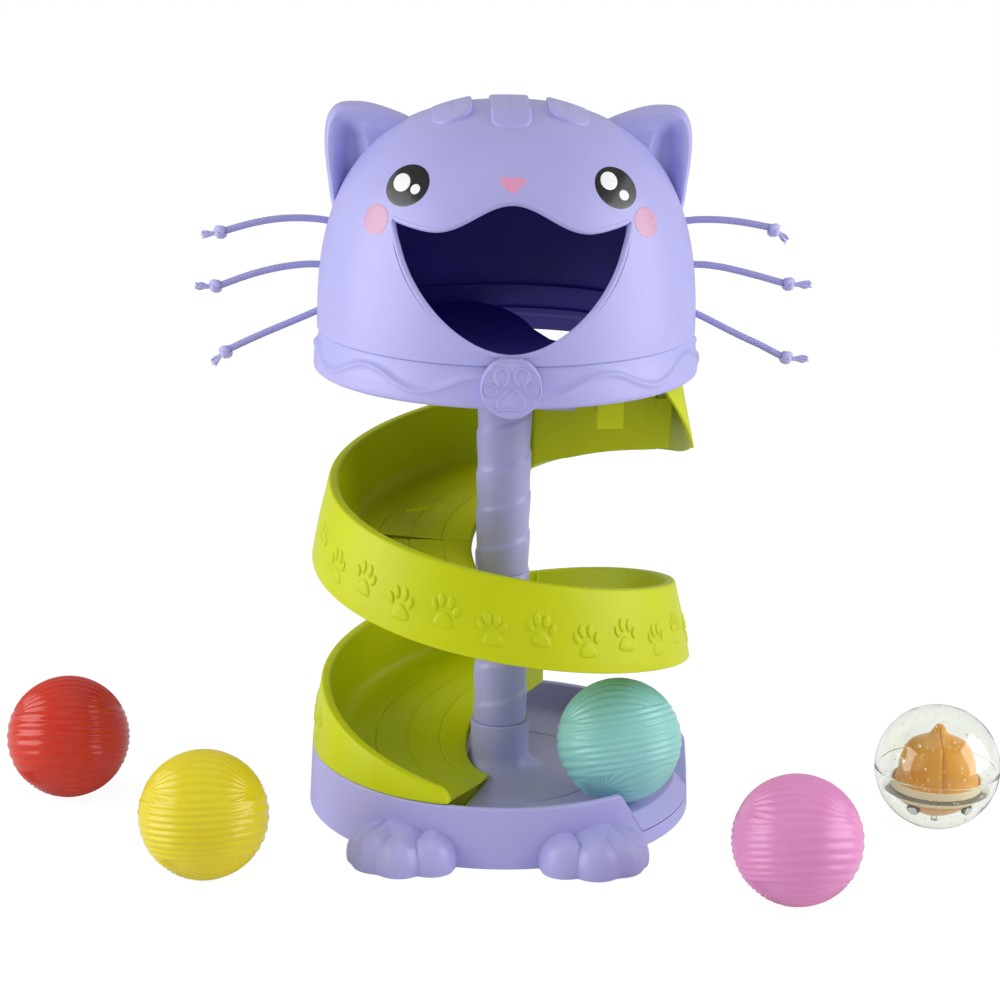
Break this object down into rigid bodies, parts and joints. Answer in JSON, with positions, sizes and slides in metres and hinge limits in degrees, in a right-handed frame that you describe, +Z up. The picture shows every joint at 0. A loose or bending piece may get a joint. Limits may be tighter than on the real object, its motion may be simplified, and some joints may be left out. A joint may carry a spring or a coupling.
{
  "type": "cat ball track toy",
  "caption": "Cat ball tower: domed cat head with a mouth opening, spiral ramp round a post, tray base with a ball exit, and loose play balls",
  "frame": {"origin": "on the post's axis at the floor, the centre of the base's foot ring", "axes": "+Z up along the post, -Y out of the cat's face, +X to the right of the face as seen from the front"},
  "size_m": [0.562, 0.2875, 0.4008],
  "materials": {
    "lavender_plastic": "semi-gloss injection moulded polypropylene",
    "lime_plastic": "semi-gloss injection moulded polypropylene",
    "indigo_plastic": "semi-gloss injection moulded plastic",
    "steel": "zinc plated screw",
    "black_ink": "pad printed gloss ink",
    "white_ink": "pad printed gloss ink",
    "pink_ink": "pad printed gloss ink",
    "cheek_ink": "pad printed gloss ink",
    "cord": "braided polyester cord",
    "red_plastic": "moulded plastic with a yarn relief",
    "yellow_plastic": "moulded plastic with a yarn relief",
    "teal_plastic": "moulded plastic with a yarn relief",
    "pink_plastic": "moulded plastic with a yarn relief",
    "clear_plastic": "clear moulded plastic",
    "orange_plastic": "moulded plastic with glitter",
    "cream_plastic": "frosted moulded plastic"
  },
  "bodies": {
    "tower": {"base_tray": "lavender_plastic", "base_screw": "steel", "lower_post": "lavender_plastic", "upper_post": "lavender_plastic", "post_flange_screws": "steel", "ramp_start": "lime_plastic", "ramp_upper": "lime_plastic", "ramp_middle": "lime_plastic", "ramp_lower": "lime_plastic", "ramp_bracket_upper": "lime_plastic", "ramp_bracket_lower": "lime_plastic", "ramp_screws": "steel", "ramp_hanger": "lime_plastic", "hanger_screw": "steel", "guide_tab": "lavender_plastic", "collar": "lavender_plastic", "head_floor": "indigo_plastic", "head_dome": "lavender_plastic", "ear_left": "lavender_plastic", "ear_right": "lavender_plastic", "eyes_dark": "black_ink", "eyes_light": "white_ink", "nose_print": "pink_ink", "cheek_prints": "cheek_ink", "paw_medallion": "lavender_plastic", "whisker_left_top": "cord", "whisker_left_middle": "cord", "whisker_left_bottom": "cord", "whisker_right_top": "cord", "whisker_right_middle": "cord", "whisker_right_bottom": "cord"},
    "ball_red": {"ball_red": "red_plastic"},
    "ball_yellow": {"ball_yellow": "yellow_plastic"},
    "ball_teal": {"ball_teal": "teal_plastic"},
    "ball_pink": {"ball_pink": "pink_plastic"},
    "ball_clear": {"clear_ball_top": "clear_plastic", "clear_ball_bottom": "clear_plastic", "fish_body": "orange_plastic", "fish_band": "cream_plastic", "fish_eyes": "black_ink"}
  },
  "joints": [
    {"name": "ball_red_lift", "type": "slide", "parent": "tower", "child": "ball_red", "axis": [0, 0, 1], "range_m": [0, 0.15]},
    {"name": "ball_yellow_lift", "type": "slide", "parent": "tower", "child": "ball_yellow", "axis": [0, 0, 1], "range_m": [0, 0.15]},
    {"name": "ball_pink_lift", "type": "slide", "parent": "tower", "child": "ball_pink", "axis": [0, 0, 1], "range_m": [0, 0.15]},
    {"name": "ball_clear_lift", "type": "slide", "parent": "tower", "child": "ball_clear", "axis": [0, 0, 1], "range_m": [0, 0.15]},
    {"name": "ball_teal_exit", "type": "slide", "parent": "tower", "child": "ball_teal", "axis": [0.9794, -0.1727, 0.1045], "range_m": [0, 0.12]}
  ]
}
